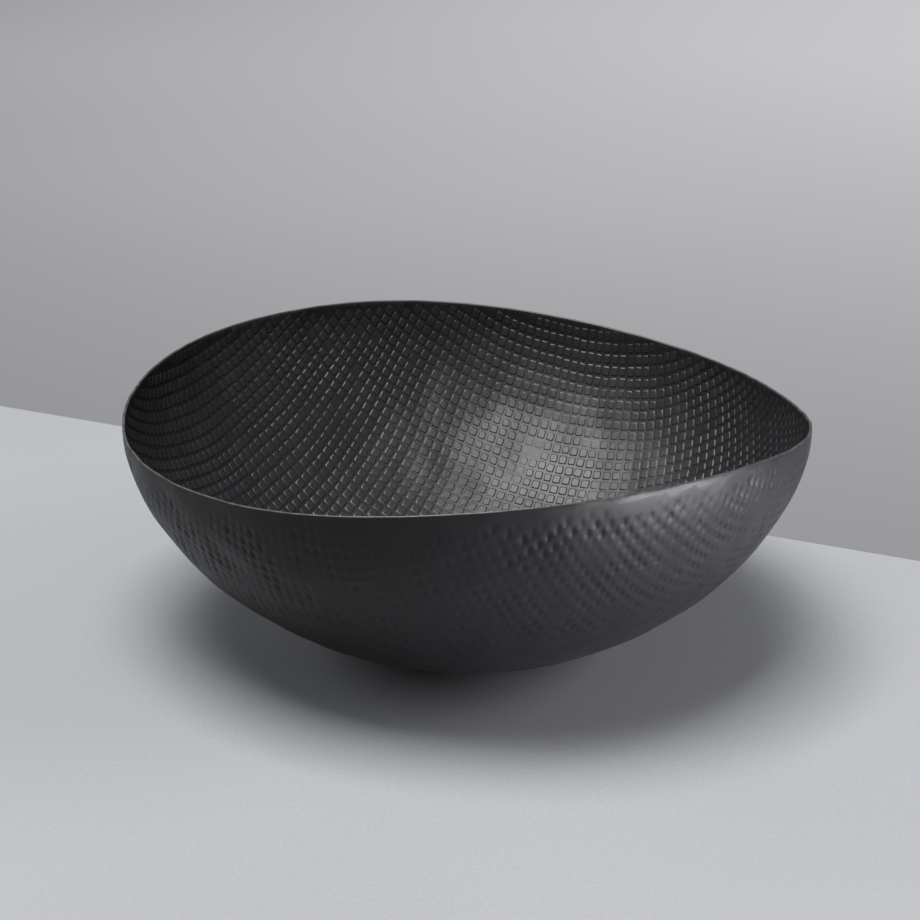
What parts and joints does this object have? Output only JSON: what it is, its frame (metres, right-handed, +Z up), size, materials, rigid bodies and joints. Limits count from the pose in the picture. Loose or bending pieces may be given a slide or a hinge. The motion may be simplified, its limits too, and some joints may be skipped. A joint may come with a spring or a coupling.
{
  "type": "hammered metal bowl",
  "caption": "Large round bowl of thin hammered sheet metal, finished satin black, with a wavy open rim, a curved section and small foot pads under a flat base.",
  "frame": {"origin": "on the surface that the bowl stands on, under the middle of the rim's bounding box", "axes": "+Z up; -Y is the front, where the rim is low enough to look in; +X to the right"},
  "size_m": [0.3698, 0.3914, 0.1455],
  "materials": {
    "blackened_sheet": "satin",
    "foot_pad": "matte"
  },
  "bodies": {
    "root": {"bowl_shell": "blackened_sheet", "foot_pad_front_left": "foot_pad", "foot_pad_front_right": "foot_pad", "foot_pad_back_left": "foot_pad", "foot_pad_back_right": "foot_pad"}
  },
  "joints": []
}
